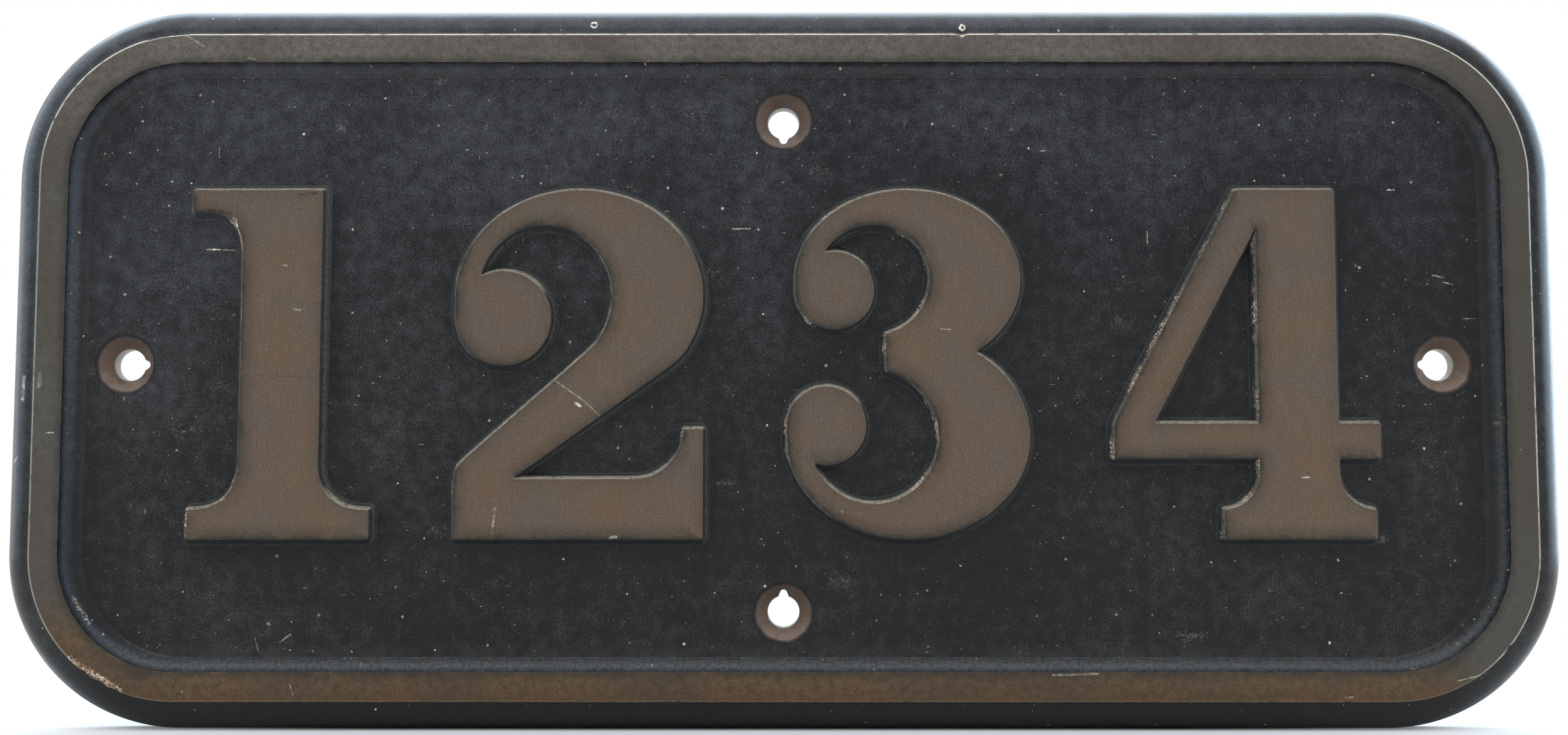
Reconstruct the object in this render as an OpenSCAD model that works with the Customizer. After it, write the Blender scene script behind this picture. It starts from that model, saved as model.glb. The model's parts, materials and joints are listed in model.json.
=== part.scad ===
// Rectangular locomotive number plate of the built-up kind. A cast-iron backing plate carries
// a brass border moulding, which wraps its edge, and four brass numerals. Countersunk screws
// from the back hold them. The front faces -Y, +Z is up, and the origin is the middle of the
// flat back face.

/* [Plate] */
// Overall width, across the border moulding
overall_w = 563; // [540:1:680]
// Overall height, across the border moulding
overall_h = 263; // [245:1:330]
// Corner radius of the outer edge
corner_r = 63.5; // [45:0.5:80]
// Thickness of the cast-iron backing plate
plate_t = 11; // [8:0.5:18]

/* [Fixing holes] */
// Distance of each fixing hole's centre from the outer edge
fix_inset = 41.7; // [40:0.1:45]
// Diameter of the fixing holes, which clear a 7/16 in bolt
fix_d = 11.5; // [8:0.1:13]
// Diameter of the countersink at the field
sink_d = 21.2; // [16:0.1:24]
// Depth of the countersink
sink_depth = 5; // [3:0.1:7]
// Width of the notch that stops the bolt's nib from turning
notch_w = 3; // [2:0.1:5]
// Reach of the notch, from the hole's centre to its round tip
notch_reach = 8.2; // [7:0.1:10]

/* [Border moulding] */
// Height of the border's flat band above the field
rim_rise = 5; // [4.8:0.1:8]
// Width of the rounded outer side, seen from the front
side_w = 10.4; // [7:0.1:14]
// Drop from the band to the rounded outer side
side_drop = 0.6; // [0.3:0.1:1.5]
// Width of the flat bare band
band_w = 10.7; // [8:0.1:16]
// Radius of the cove between the band and the field
cove_r = 4.2; // [3:0.1:4.6]
// Thickness of the cove's toe on the field
toe_t = 0.4; // [0.2:0.1:0.8]
// Thickness of the lip that wraps the plate's edge
lip_t = 5; // [3:0.1:8]
// Gap between the lip and the plate's edge
lip_gap = 0.15; // [0.05:0.05:0.3]

/* [Numerals] */
// Height of the numerals
numeral_h = 127; // [115:1:140]
// Height of the numerals' faces above the field
numeral_rise = 5; // [4:0.1:8]
// Spread of the sloping walls, from the face to the foot
draft = 1.8; // [0.8:0.1:2.5]
// Upright edge at the top of the sloping walls
face_land = 0.5; // [0.3:0.1:1]
// Space between neighbouring numerals
numeral_gap = 30; // [20:1:34]
// Width of the upright stems
stem_w = 28.8; // [24:0.1:32]
// Width of the thin strokes
thin_w = 13; // [11:0.5:15]
// Width of the round strokes at their widest
bowl_w = 33; // [28:0.5:36]
// Width of the thin end of a round stroke, beside its ball
tail_w = 8; // [5:0.5:10]
// Height of a slab foot
foot_h = 11; // [9:0.5:14]
// Radius of the brackets between foot and stem
bracket_r = 15; // [8:0.5:16]

/* [Numeral one] */
// Length of the flag and of the foot's arms
one_arm = 18.6; // [17:0.1:22]
// Height of the flag
flag_h = 8.5; // [7:0.5:12]
// Radius of the bracket under the flag
flag_bracket_r = 12; // [6:0.5:14]

/* [Numeral two] */
// Width of the two
two_w = 90; // [84:1:94]
// Height of the upper bowl
two_bowl_h = 78; // [74:1:84]
// Diameter of the ball
two_ball_d = 35; // [30:0.5:38]
// Angle below level at which the bowl turns into the slanting stroke
two_turn = 32; // [24:1:40]
// Radius of that turn
two_turn_r = 20; // [16:0.5:24]
// Width of the slanting stroke at its foot
two_slant_w = 16; // [12:0.5:20]
// Height of the base
two_base_h = 22; // [18:0.5:26]
// Width of the base's raised tip
two_tip_w = 7; // [5:0.5:10]
// Height of the base's raised tip
two_tip_h = 40; // [36:1:44]

/* [Numeral three] */
// Width of the three
three_w = 88; // [82:1:94]
// Height of the lower bowl
three_low_h = 74; // [70:1:80]
// Inset of the upper bowl at either side
three_top_inset = 3; // [1:0.5:5]
// Diameter of the balls
three_ball_d = 29; // [24:0.5:31]
// Distance from the left side to the middle tongue
three_tongue = 36; // [33:0.5:40]

/* [Numeral four] */
// Width of the four
four_w = 96; // [90:1:100]
// Length of the crossbar beyond the stem
four_bar_end = 15; // [10:0.5:18]
// Height of the crossbar's underside
four_bar_z = 29; // [27:0.5:34]
// Length of the foot's arms
four_arm = 13; // [9:0.5:15]
// Width of the flat top beside the stem
four_top = 7; // [4:0.5:10]

/* [Screws] */
// Diameter of the screws
screw_d = 5; // [4:0.1:6]
// Diameter of the countersunk heads
head_d = 10; // [8:0.1:11]
// Brass left between a screw hole and the face
skin = 1.4; // [0.8:0.1:2]
// Radial gap round the screws in the plate
screw_gap = 0.15; // [0.05:0.05:0.3]
// Radial gap round the screws in the brass, and at their ends
thread_gap = 0.1; // [0.05:0.05:0.2]
// Width of the screwdriver slot
slot_w = 1.2; // [0.8:0.1:1.6]
// Depth of the screwdriver slot
slot_depth = 1.2; // [0.6:0.1:1.6]
// Distance of the end screws from the numerals' top and bottom
screw_end = 24; // [18:1:30]
// Number of screws along each long side of the border
long_screws = 4; // [2:1:6]
// Number of screws along each short side of the border
short_screws = 2; // [1:1:3]

/* [Hidden] */
$fn = 64;
eps = 0.01;

iron_black = [0.17, 0.18, 0.19];
brass_brown = [0.36, 0.31, 0.26];
screw_brass = [0.45, 0.36, 0.22];

// Straight lengths and corner centres of the border
rim_t = plate_t + rim_rise;
moulding_w = side_w + band_w + cove_r;
long_len = overall_w - 2 * corner_r;
short_len = overall_h - 2 * corner_r;
band_inset = side_w + band_w / 2;

// Screws: height of the right-angled heads, reach into the brass and turn from slot to slot
head_h = (head_d - screw_d) / 2;
numeral_reach = numeral_rise - skin;
rim_reach = rim_rise - skin;
slot_turn = 47;

// Fixing holes: the middle of each side
fix_x = overall_w / 2 - fix_inset;
fix_z = overall_h / 2 - fix_inset;
FIXINGS = [[fix_x, 0, 180], [0, fix_z, 270], [-fix_x, 0, 0], [0, -fix_z, 90]];

// Widths of the numerals and where each starts, in a row centred on the plate
one_w = 2 * one_arm + stem_w;
row_w = one_w + two_w + three_w + four_w + 3 * numeral_gap;
one_x = -row_w / 2;
two_x = one_x + one_w + numeral_gap;
three_x = two_x + two_w + numeral_gap;
four_x = three_x + three_w + numeral_gap;
base_z = -numeral_h / 2;

// Main lines of the round numerals
two_bowl_z = numeral_h - two_bowl_h / 2;
two_ball = [two_ball_d / 2, two_bowl_z - tail_w];
three_top_h = numeral_h - three_low_h + thin_w;
three_top_z = numeral_h - three_top_h / 2;
three_low_z = three_low_h / 2;
three_top_ball = [three_top_inset + three_ball_d / 2, three_top_z - tail_w / 2];
three_low_ball = [three_ball_d / 2, three_low_z + tail_w / 2];

// Main lines of the four
four_stem_x = four_w - four_bar_end - stem_w;
four_bar_top = four_bar_z + thin_w;
four_rise = [four_stem_x - four_top, numeral_h - four_bar_top];
four_slant = norm(four_rise);

// Screw places on each numeral, from its lower left corner
ONE_SCREWS = [[one_arm + stem_w / 2, screw_end], [one_arm + stem_w / 2, numeral_h - screw_end]];
TWO_SCREWS = [two_ball,
              [two_w - bowl_w / 2, two_bowl_z],
              [two_w - screw_end, two_base_h / 2],
              [screw_end, two_base_h / 2]];
THREE_SCREWS = [three_top_ball,
                [three_w - three_top_inset - bowl_w / 2, three_top_z],
                [three_w - bowl_w / 2, three_low_z],
                three_low_ball];
FOUR_SCREWS = [[four_stem_x + stem_w / 2, numeral_h - screw_end],
               [four_stem_x + stem_w / 2, screw_end],
               [screw_end, four_bar_z + thin_w / 2]];

// Even spots along a length, centred on zero
function spots(count, length) = [for (i = [0:count - 1]) ((i + 0.5) / count - 0.5) * length];

// Screw places round the border, along the middle of the band
BORDER_SCREWS = concat(
    [for (side = [-1, 1], x = spots(long_screws, long_len)) [x, side * (overall_h / 2 - band_inset)]],
    [for (side = [-1, 1], z = spots(short_screws, short_len)) [side * (overall_w / 2 - band_inset), z]]);

// Stands a shape up: its height above the back face becomes -Y and its upward axis +Z
module stand() rotate([90, 0, 0]) children();

module rounded_rectangle(w, h, r) {
    square([w - 2 * r, h], center = true);
    square([w, h - 2 * r], center = true);
    for (sx = [-1, 1], sy = [-1, 1]) translate([sx * (w / 2 - r), sy * (h / 2 - r)]) circle(r);
}

// Section of the moulding: distance from the corner's centre across, height above the back up
module moulding_section() {
    side_z = rim_t - side_drop - side_w;
    cove_z = plate_t + toe_t + cove_r;
    inner = corner_r - moulding_w;
    difference() {
        translate([inner, 0]) square([moulding_w, rim_t]);
        // Rebate for the plate
        translate([inner - eps, -eps]) square([moulding_w - lip_t + eps, plate_t + eps]);
        // Rounded outer side
        difference() {
            translate([corner_r - side_w, side_z]) square([side_w + eps, rim_t]);
            translate([corner_r - side_w, side_z]) circle(side_w);
        }
        // Cove towards the field
        translate([inner, cove_z]) circle(cove_r);
        translate([inner - eps, cove_z]) square([cove_r + eps, rim_t]);
    }
}

module straight(length, offset_x) {
    translate([offset_x - corner_r, length / 2, 0])
        rotate([90, 0, 0])
            linear_extrude(length) moulding_section();
}

module border_ring() {
    for (turn = [0, 180]) {
        rotate(turn) straight(short_len, overall_w / 2);
        rotate(turn + 90) straight(long_len, overall_h / 2);
        rotate(turn) translate([long_len / 2, short_len / 2, 0])
            rotate_extrude(angle = 90) moulding_section();
        rotate(turn) translate([-long_len / 2, short_len / 2, 0])
            rotate(90) rotate_extrude(angle = 90) moulding_section();
    }
}

// One countersunk fixing hole with its notch along +X
module fixing_hole() {
    tip_x = notch_reach - notch_w / 2;
    translate([0, 0, -eps]) cylinder(h = plate_t + 2 * eps, d = fix_d);
    translate([0, 0, plate_t - sink_depth]) cylinder(h = sink_depth, d1 = fix_d, d2 = sink_d);
    translate([0, -notch_w / 2, -eps]) cube([tip_x, notch_w, plate_t + 2 * eps]);
    translate([tip_x, 0, -eps]) cylinder(h = plate_t + 2 * eps, d = notch_w);
}

// A screw from the back, entering the brass above the plate
module screw(reach, turn) {
    difference() {
        union() {
            cylinder(h = head_h, d1 = head_d, d2 = screw_d);
            cylinder(h = plate_t + reach - thread_gap, d = screw_d);
        }
        rotate(turn) translate([-head_d, -slot_w / 2, -eps]) cube([2 * head_d, slot_w, slot_depth + eps]);
    }
}

// The hole for a screw through the plate, and its seat for the head
module screw_hole() {
    translate([0, 0, -eps]) cylinder(h = plate_t + 2 * eps, d = screw_d + 2 * screw_gap);
    cylinder(h = head_h, d1 = head_d + 2 * screw_gap, d2 = screw_d + 2 * screw_gap);
}

// The blind hole for a screw's end in the brass
module blind_hole(reach) {
    translate([0, 0, plate_t - eps]) cylinder(h = reach + eps, d = screw_d + 2 * thread_gap);
}

module at_all(places, x = 0, z = 0) {
    for (place = places) translate([x + place[0], z + place[1], 0]) children();
}

module screws(places, reach, x = 0, z = 0) {
    for (i = [0:len(places) - 1])
        translate([x + places[i][0], z + places[i][1], 0]) screw(reach, i * slot_turn);
}

// Filled corner between two edges that meet at the origin, rounded by an arc
module bracket(r) {
    difference() {
        square(r);
        translate([r, r]) circle(r);
    }
}

module ellipse(w, h) scale([w / 2, h / 2]) circle(1);

// Open inside of a round stroke whose left side is at zero
module counter(w, h) {
    counter_w = w - bowl_w - tail_w;
    translate([tail_w + counter_w / 2, 0]) ellipse(counter_w, h - 2 * thin_w);
}

// Round stroke with its left side at zero: wide on the right, thin on the left, top and bottom
module bowl(w, h) {
    difference() {
        translate([w / 2, 0]) ellipse(w, h);
        counter(w, h);
    }
}

// Slab foot with brackets for a stem that starts at x
module slab_foot(x, arm, r) {
    translate([x - arm, 0]) square([stem_w + 2 * arm, foot_h]);
    translate([x, foot_h]) mirror([1, 0]) bracket(r);
    translate([x + stem_w, foot_h]) bracket(r);
}

module one_face() {
    translate([one_arm, 0]) square([stem_w, numeral_h]);
    slab_foot(one_arm, one_arm, bracket_r);
    translate([0, numeral_h - flag_h]) square([one_arm + stem_w, flag_h]);
    translate([one_arm, numeral_h - flag_h]) rotate(180) bracket(flag_bracket_r);
}

module two_face() {
    middle = [two_w / 2, two_bowl_z];
    spoke = [two_w / 2 * cos(two_turn), -two_bowl_h / 2 * sin(two_turn)];
    outward = [cos(two_turn) / two_w, -sin(two_turn) / two_bowl_h];
    knee = middle + spoke - two_turn_r * outward / norm(outward);
    slant_r = two_slant_w / 2;
    toe = [slant_r, two_base_h];
    mouth = toe + (slant_r + tail_w) * [-cos(45), sin(45)];
    difference() {
        union() {
            // Upper bowl, down to where it turns
            difference() {
                translate(middle) ellipse(two_w, two_bowl_h);
                translate(middle) polygon([[0, 0], 2 * spoke, [two_w, -two_bowl_h], [0, -two_bowl_h]]);
                translate([-eps, 0]) square([middle[0] + 2 * eps, two_ball[1]]);
            }
            // Slanting stroke, thinning down to the base
            hull() {
                translate(knee) circle(two_turn_r);
                translate(toe) circle(slant_r);
            }
        }
        // Inside of the bowl, open towards the lower left
        hull() {
            translate([0, two_bowl_z]) counter(two_w, two_bowl_h);
            translate(mouth) circle(tail_w);
        }
    }
    // Ball, and the end of the bowl's tail beside it
    translate(two_ball) circle(d = two_ball_d);
    translate([0, two_ball[1]]) square(tail_w);
    // Base with its raised tip
    square([two_w, two_base_h]);
    translate([two_w - two_tip_w, 0]) square([two_tip_w, two_tip_h]);
    translate([two_w - two_tip_w, two_base_h]) mirror([1, 0]) bracket(two_tip_h - two_base_h);
}

module three_face() {
    top_w = three_w - 2 * three_top_inset;
    translate([three_top_inset, three_top_z]) difference() {
        bowl(top_w, three_top_h);
        translate([-eps, -three_top_h]) square([three_tongue - three_top_inset, three_top_h - tail_w / 2]);
    }
    translate([0, three_low_z]) difference() {
        bowl(three_w, three_low_h);
        translate([-eps, tail_w / 2]) square([three_tongue, three_low_h]);
    }
    translate(three_top_ball) circle(d = three_ball_d);
    translate(three_low_ball) circle(d = three_ball_d);
}

module four_face() {
    // Width of the slanting stroke measured along the crossbar
    slant_w = thin_w * four_slant / four_rise[1];
    counter_w = four_stem_x - slant_w;
    counter_h = counter_w * four_rise[1] / four_rise[0];
    difference() {
        polygon([[0, four_bar_z], [four_w, four_bar_z],
                 [four_w, four_bar_top], [four_stem_x + stem_w, four_bar_top],
                 [four_stem_x + stem_w, numeral_h], [four_rise[0], numeral_h],
                 [0, four_bar_top]]);
        translate([slant_w, four_bar_top]) polygon([[0, 0], [counter_w, 0], [counter_w, counter_h]]);
    }
    translate([four_stem_x, 0]) square([stem_w, numeral_h]);
    slab_foot(four_stem_x, four_arm, four_arm);
}

// A face raised off the field, with sloping walls and blind screw holes behind
module raised(places) {
    difference() {
        translate([0, 0, plate_t]) minkowski() {
            linear_extrude(face_land) children();
            cylinder(h = numeral_rise - face_land, r1 = draft, r2 = 0, $fn = 20);
        }
        at_all(places) blind_hole(numeral_reach);
    }
}

module backing_plate() {
    edge = lip_t + lip_gap;
    color(iron_black) stand() difference() {
        linear_extrude(plate_t)
            rounded_rectangle(overall_w - 2 * edge, overall_h - 2 * edge, corner_r - edge);
        for (place = FIXINGS) translate([place[0], place[1], 0]) rotate(place[2]) fixing_hole();
        at_all(BORDER_SCREWS) screw_hole();
        at_all(ONE_SCREWS, one_x, base_z) screw_hole();
        at_all(TWO_SCREWS, two_x, base_z) screw_hole();
        at_all(THREE_SCREWS, three_x, base_z) screw_hole();
        at_all(FOUR_SCREWS, four_x, base_z) screw_hole();
    }
}

module border_moulding() {
    color(brass_brown) stand() difference() {
        border_ring();
        at_all(BORDER_SCREWS) blind_hole(rim_reach);
    }
}

module numeral_one()
    color(brass_brown) stand() translate([one_x, base_z, 0]) raised(ONE_SCREWS) one_face();
module numeral_two()
    color(brass_brown) stand() translate([two_x, base_z, 0]) raised(TWO_SCREWS) two_face();
module numeral_three()
    color(brass_brown) stand() translate([three_x, base_z, 0]) raised(THREE_SCREWS) three_face();
module numeral_four()
    color(brass_brown) stand() translate([four_x, base_z, 0]) raised(FOUR_SCREWS) four_face();

module numeral_one_screws()
    color(screw_brass) stand() screws(ONE_SCREWS, numeral_reach, one_x, base_z);
module numeral_two_screws()
    color(screw_brass) stand() screws(TWO_SCREWS, numeral_reach, two_x, base_z);
module numeral_three_screws()
    color(screw_brass) stand() screws(THREE_SCREWS, numeral_reach, three_x, base_z);
module numeral_four_screws()
    color(screw_brass) stand() screws(FOUR_SCREWS, numeral_reach, four_x, base_z);
module border_screws()
    color(screw_brass) stand() screws(BORDER_SCREWS, rim_reach);

backing_plate();
border_moulding();
numeral_one();
numeral_two();
numeral_three();
numeral_four();
numeral_one_screws();
numeral_two_screws();
numeral_three_screws();
numeral_four_screws();
border_screws();
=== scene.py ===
import json
import math
from functools import partial

import bmesh
import bpy
import numpy as np
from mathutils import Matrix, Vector, kdtree, noise
from mathutils.geometry import delaunay_2d_cdt


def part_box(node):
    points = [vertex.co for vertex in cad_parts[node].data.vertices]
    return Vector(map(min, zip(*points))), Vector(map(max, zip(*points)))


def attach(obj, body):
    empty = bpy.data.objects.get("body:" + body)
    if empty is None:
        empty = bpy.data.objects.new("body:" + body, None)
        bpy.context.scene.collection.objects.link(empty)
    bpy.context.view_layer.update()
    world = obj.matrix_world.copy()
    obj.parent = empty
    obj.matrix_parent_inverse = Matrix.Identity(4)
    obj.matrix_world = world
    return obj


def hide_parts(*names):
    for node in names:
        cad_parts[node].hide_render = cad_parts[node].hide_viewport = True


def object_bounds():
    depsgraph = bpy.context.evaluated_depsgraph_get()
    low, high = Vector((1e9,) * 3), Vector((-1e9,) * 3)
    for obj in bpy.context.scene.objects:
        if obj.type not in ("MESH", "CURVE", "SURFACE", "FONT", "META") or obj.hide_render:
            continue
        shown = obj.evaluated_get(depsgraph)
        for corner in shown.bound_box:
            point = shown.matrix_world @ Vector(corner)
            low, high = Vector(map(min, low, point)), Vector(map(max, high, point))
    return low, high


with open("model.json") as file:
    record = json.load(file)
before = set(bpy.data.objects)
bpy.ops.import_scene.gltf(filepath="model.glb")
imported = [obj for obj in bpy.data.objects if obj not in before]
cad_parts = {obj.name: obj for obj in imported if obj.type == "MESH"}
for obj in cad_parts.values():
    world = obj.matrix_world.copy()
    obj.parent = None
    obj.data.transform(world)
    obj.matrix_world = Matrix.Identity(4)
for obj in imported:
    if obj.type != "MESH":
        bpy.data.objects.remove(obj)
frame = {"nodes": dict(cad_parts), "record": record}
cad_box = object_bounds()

scene = bpy.context.scene

# Shapes are worked out in mm as (x, z, height above the back face), with the front towards -Y
MM = 0.001

# Outside, rim and field, measured on the frame
HALF_W = cad_box[1].x / MM
HALF_H = cad_box[1].z / MM
RIM = -cad_box[0].y / MM
PLATE_HALF_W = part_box("backing_plate")[1].x / MM
PLATE_HALF_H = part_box("backing_plate")[1].z / MM
FIELD = -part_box("backing_plate")[0].y / MM

# Border moulding: corner radius, rounded side, flat band, cove and the lip round the plate
CORNER_R = 63.5
SIDE_W = 10.4
SIDE_DROP = 0.6
BAND_W = 10.7
COVE_R = 4.2
TOE = 0.4
LIP = 5.0
ARRIS_R = 0.35
BORDER_STEP = 1.5

# The cove's foot: reach past the cove, height over the field, and further reach on upright sides
TOE_SECTION = [(0.35, 0.32, 0.5), (0.6, 0.1, 1.3), (0.7, -0.2, 2.2)]
BAND_IN = SIDE_W + BAND_W
COVE_IN = BAND_IN + COVE_R

# Soft edges of the moulding as (inset, height): at its back, and at the step from side to band
BACK_EDGE = [(0.5, 0.0), (0.12, 0.12), (0.0, 0.5)]
STEP_EDGE = [(-0.25, 0.04), (-0.04, 0.14)]

# Height from which the moulding is seen, how far its ledge sinks into the paint, and margins of the band
SEEN_FROM = 0.4
LEDGE_SINK = 0.2
BARE_MARGIN = 0.3
ZONE_MARGIN = 0.1

# Fixing holes: bore, countersink, the notch for a bolt's nib, and the points that soften its corners
FIX_R = next(m for m in frame["record"]["mounts"] if m["kind"] == "bore")["dims"]["r_mm"]
SINK_R = 10.6
SINK_DEPTH = 5.0
BORE_H = FIELD - SINK_DEPTH
NOTCH_W = 3.0
NOTCH_REACH = 8.2
NOTCH_BLUR = range(-2, 3)
HOLE_POINTS = 144

# Section of a fixing hole: soft edges as (further radius, height), and shares of the way between them
SINK_EDGE = [(1.0, 0.0), (0.35, -0.03), (-0.1, -0.28)]
SINK_SHARES = (0.2, 0.4, 0.6, 0.8, 0.94)
BORE_EDGE = 0.25
BORE_SHARES = (0.75, 0.5, 0.25)
BORE_BACK = [(0.03, 0.45), (0.15, 0.12), (0.45, 0.0)]

# Screw holes behind the brass
SCREW_HOLE_R = 2.65
SCREW_SEAT_R = 5.15
SCREW_SEAT_H = 2.5
BLIND_R = 2.6
BLIND_DEPTH = 3.6
SCREW_POINTS = 28
SCREW_APART = 8.0
SCREW_EDGE = 0.15

# Numerals: spacing of the outline's points, how it is smoothed, and the section of its edge as (out, drop),
# whose first rings belong to the face
OUTLINE_STEP = 0.45
SMOOTH_PASSES = 40
CORNER_PASSES = 4
CORNER_TURN = math.radians(35)
EDGE_SECTION = [(-1.6, 0.0), (-0.8, 0.01), (-0.4, 0.05), (-0.16, 0.14), (0.0, 0.28), (0.07, 0.5), (0.12, 0.8),
                (0.55, 1.9), (1.0, 3.0), (1.4, 4.0), (1.7, 4.75), (1.95, 4.95), (2.3, 5.03)]
FACE_RINGS = 7
FACE_STEP = 1.8

# How far the numerals' feet sink into the paint, and where the unevenness of outline and face ends
FOOT = FIELD - 0.04
WOBBLE_REACH = 2.0
CAST_DROP = 6.0

# Spacing of points along the plate's edge and inside the field, the back and the numerals' feet
PLATE_STEP = 3.0
FIELD_STEP = 2.2
BACK_STEP = 4.0
FOOT_STEP = 6.0

# Flat fills: share of the spacing kept clear of the rim, distance that counts as none, and least area
RIM_CLEAR = 0.6
SAME_PLACE = 1e-4
SLIVER = 0.1

# Outlines: what counts as flat, and how points that fold over are pushed clear
FLAT = 0.01
FOLD_PASSES = 8
FOLD_SLACK = 0.01
LEAST_STEP = 0.02

# Depth in mm within which points belong to the field or to the back
FIELD_SKIN = 0.5
BACK_SKIN = 0.2

# Mending of meshes: distance at which points join, width of spare faces, and sides of a gap to fill
WELD = 0.015
THIN = 0.005
GAP_SIDES = 8
SHARP_TURN = math.radians(55)

# Unevenness of the castings: span and depth in mm, and a shift of its noise
FIELD_CAST = (26.0, 0.18, 3.7)
BACK_CAST = (11.0, 0.4, 9.1)
SIDE_CAST = (13.0, 0.22, 5.3)
BAND_CAST = (24.0, 0.09, 5.3)
FACE_CAST = (21.0, 0.09, 7.9)
OUTLINE_CAST = (9.0, 0.3, 2.2)

# Reach in mm of the dirt and painted shade beside the raised work and of the dust above it, and their weights
GRIME_AND_SHADE_REACH = 24.0
GRIME_AND_SHADE_FALL = 1.5
DUST_REACH = 6.0
DUST_WEIGHT = 1.2
END_WEIGHT = 0.9
FOOT_WEIGHT = 0.8

NUMERALS = ["numeral_one", "numeral_two", "numeral_three", "numeral_four"]
SCREWS = [numeral + "_screws" for numeral in NUMERALS] + ["border_screws"]

# Knocks on the border: x, z, radius and depth
DENTS = [(-224.0, 121.6, 9.0, 0.75), (-231.0, 119.4, 4.0, 0.5), (-195.4, 111.4, 3.4, 0.55),
         (65.2, 121.0, 2.6, 0.7), (-249.0, -110.0, 3.2, 0.5), (-244.0, -113.6, 3.6, 0.55),
         (-238.5, -116.6, 2.8, 0.45), (201.0, -120.2, 2.4, 0.5), (258.5, -101.5, 2.6, 0.4)]


def rgb(red, green, blue):
    """A colour given by its 8-bit screen values, as linear light."""
    scaled = [v / 255 for v in (red, green, blue)]
    return (*[v / 12.92 if v <= 0.04045 else ((v + 0.055) / 1.055) ** 2.4 for v in scaled], 1.0)


def in_scene(name, data):
    """A new object in the scene."""
    made = bpy.data.objects.new(name, data)
    scene.collection.objects.link(made)
    return made


def fade(distance, reach):
    """One at no distance, and nothing from a reach on."""
    return np.clip(1 - distance / reach, 0, 1)


# Outlines and fills in the (x, z) plane

def rounded_path(half_w, half_h, radius, step):
    """Points along a rounded rectangle, anticlockwise, and the outward direction at each."""
    points, outward = [], []
    corners = [(half_w - radius, half_h - radius), (radius - half_w, half_h - radius),
               (radius - half_w, radius - half_h), (half_w - radius, radius - half_h)]
    turns = round(radius * math.pi / 2 / step)
    for k, centre in enumerate(corners):
        for i in range(turns + 1):
            angle = math.radians(90 * (k + i / turns))
            outward.append((math.cos(angle), math.sin(angle)))
            points.append(np.add(centre, np.multiply(radius, outward[-1])))
        begin, end = points[-1], np.add(corners[(k + 1) % 4], np.multiply(radius, outward[-1]))
        count = round(math.dist(begin, end) / step)
        for i in range(1, count):
            outward.append(outward[-1])
            points.append(begin + (end - begin) * i / count)
    return np.array(points), np.array(outward)


def rays(count, turn=0.0):
    """Directions evenly spaced all round, anticlockwise from an angle."""
    angles = np.arange(count) * 2 * math.pi / count + turn
    return np.c_[np.cos(angles), np.sin(angles)]


def circle(centre, radius, count):
    """Evenly spaced points on a circle, anticlockwise."""
    return np.add(centre, radius * rays(count))


def within(points, loops):
    """Whether each point lies inside the loops, by counting crossings."""
    inside = np.zeros(len(points), bool)
    x, z = points.T
    for loop in loops:
        for (x0, z0), (x1, z1) in zip(loop, np.roll(loop, -1, axis=0)):
            if z0 != z1:
                crossing = (z0 > z) != (z1 > z)
                inside ^= crossing & (x < x0 + (z - z0) * (x1 - x0) / (z1 - z0))
    return inside


def nearest_on(rim, points):
    """For each point, the number of the nearest point of a rim."""
    tree = kdtree.KDTree(len(rim))
    for i, (x, z) in enumerate(rim):
        tree.insert((x, z, 0), i)
    tree.balance()
    return np.array([tree.find((x, z, 0))[1] for x, z in points])


def away_from(rim, points):
    """Distance of each point from the nearest point of a rim, and the direction that leads away."""
    gaps = points - rim[nearest_on(rim, points)]
    reach = np.hypot(*gaps.T)
    return reach, gaps / np.maximum(reach, 1e-6)[:, None]


def filled(loops, spacing):
    """Points inside the loops on a staggered grid, and triangles that number the loops' points first."""
    rim = np.vstack(loops)
    low, high = rim.min(0) + spacing / 2, rim.max(0)
    rows = np.arange(low[1], high[1], spacing * math.sqrt(0.75))
    grid = np.array([(x + i % 2 * spacing / 2, z) for i, z in enumerate(rows)
                     for x in np.arange(low[0], high[0], spacing)])
    grid = grid[within(grid, loops)]
    grid = grid[away_from(rim, grid)[0] > RIM_CLEAR * spacing]
    edges, first = [], 0
    for loop in loops:
        count = len(loop)
        edges += [(first + i, first + (i + 1) % count) for i in range(count)]
        first += count
    points = [Vector(p) for p in [*rim, *grid]]
    places, lines, faces, sources, origins, _ = delaunay_2d_cdt(points, edges, [], 0, SAME_PLACE)
    crossings = [place for place, source in zip(places, sources) if not source]
    inner = np.vstack([grid, *crossings])
    spare = iter(range(len(rim) + len(grid), len(rim) + len(inner)))
    numbers = [source[0] if source else next(spare) for source in sources]
    triangles = np.array([[numbers[i] for i in face] for face in faces])
    walls = {frozenset(line) for line, origin in zip(lines, origins) if origin}
    return inner, triangles[enclosed(faces, walls, np.vstack([rim, inner])[triangles], loops)]


def enclosed(faces, walls, corners, loops):
    """Whether each triangle lies inside the loops, settled by the largest one of each patch between walls."""
    owners = {}
    for i, face in enumerate(faces):
        for pair in zip(face, [*face[1:], face[0]]):
            owners.setdefault(frozenset(pair), []).append(i)
    beside = [[] for _ in faces]
    for pair, both in owners.items():
        if pair not in walls and len(both) == 2:
            beside[both[0]].append(both[1])
            beside[both[1]].append(both[0])
    one, other = np.moveaxis(corners[:, 1:] - corners[:, :1], 1, 0)
    area = np.abs(one[:, 0] * other[:, 1] - one[:, 1] * other[:, 0])
    inside = within(corners.mean(1), loops)
    seen = np.zeros(len(faces), bool)
    for start in range(len(faces)):
        if not seen[start]:
            seen[start] = True
            patch = [start]
            for i in patch:
                fresh = [k for k in beside[i] if not seen[k]]
                seen[fresh] = True
                patch += fresh
            largest = patch[np.argmax(area[patch])]
            inside[patch] = inside[largest] and area[largest] > SLIVER
    return inside


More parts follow.
